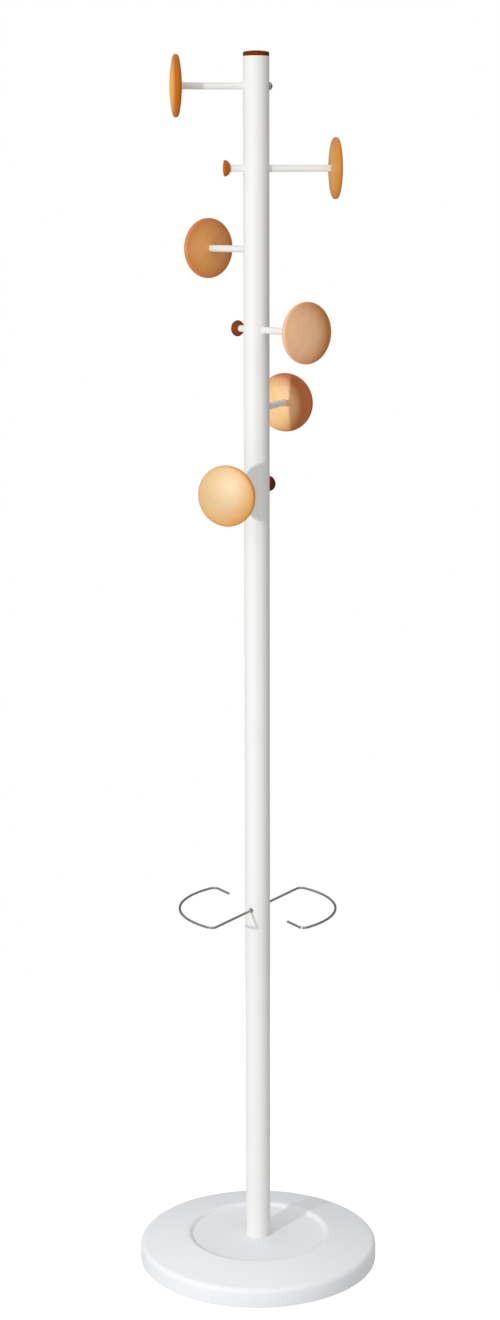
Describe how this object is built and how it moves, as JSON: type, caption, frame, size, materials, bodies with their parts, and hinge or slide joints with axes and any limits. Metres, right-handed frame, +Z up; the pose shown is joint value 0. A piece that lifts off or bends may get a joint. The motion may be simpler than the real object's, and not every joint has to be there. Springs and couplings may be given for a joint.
{
  "type": "standing coat rack",
  "caption": "Slim white pole on a round weighted base, with turned wooden disc hooks on level rods, small back knobs and wire umbrella loops over a drip tray.",
  "frame": {"origin": "on the floor, at the middle of the base, on the pole's axis", "axes": "+Z up along the pole, -Y to the front, +X to the right as seen from the front"},
  "size_m": [0.35, 0.35, 1.75],
  "materials": {
    "pole_paint": "satin powder coat",
    "cap_wood": "varnished beech, stained dark",
    "disc_wood": "varnished beech",
    "knob_wood": "varnished beech, stained dark",
    "insert_brass": "plain",
    "nut_steel": "plain",
    "loop_wire": "polished",
    "cover_plastic": "smooth, white",
    "inner_steel": "zinc plated",
    "weight_iron": "as cast",
    "pad_foam": "closed-cell foam"
  },
  "bodies": {
    "root": {"pole": "pole_paint", "top_cap": "cap_wood", "foot_plug": "inner_steel", "hook_rod_1": "pole_paint", "hook_rod_2": "pole_paint", "hook_rod_3": "pole_paint", "hook_rod_4": "pole_paint", "hook_rod_5": "pole_paint", "hook_rod_6": "pole_paint", "hook_disc_1": "disc_wood", "hook_disc_2": "disc_wood", "hook_disc_3": "disc_wood", "hook_disc_4": "disc_wood", "hook_disc_5": "disc_wood", "hook_disc_6": "disc_wood", "back_knob_2": "knob_wood", "back_knob_4": "knob_wood", "back_knob_6": "knob_wood", "disc_inserts": "insert_brass", "dome_nut": "nut_steel", "umbrella_loop_left": "loop_wire", "umbrella_loop_right": "loop_wire", "loop_sleeve": "inner_steel", "base_cover": "cover_plastic", "counterweight": "weight_iron", "base_plate": "inner_steel", "plate_screws": "inner_steel", "floor_pad": "pad_foam", "foot_bolt": "inner_steel", "foot_washer": "inner_steel"}
  },
  "joints": []
}
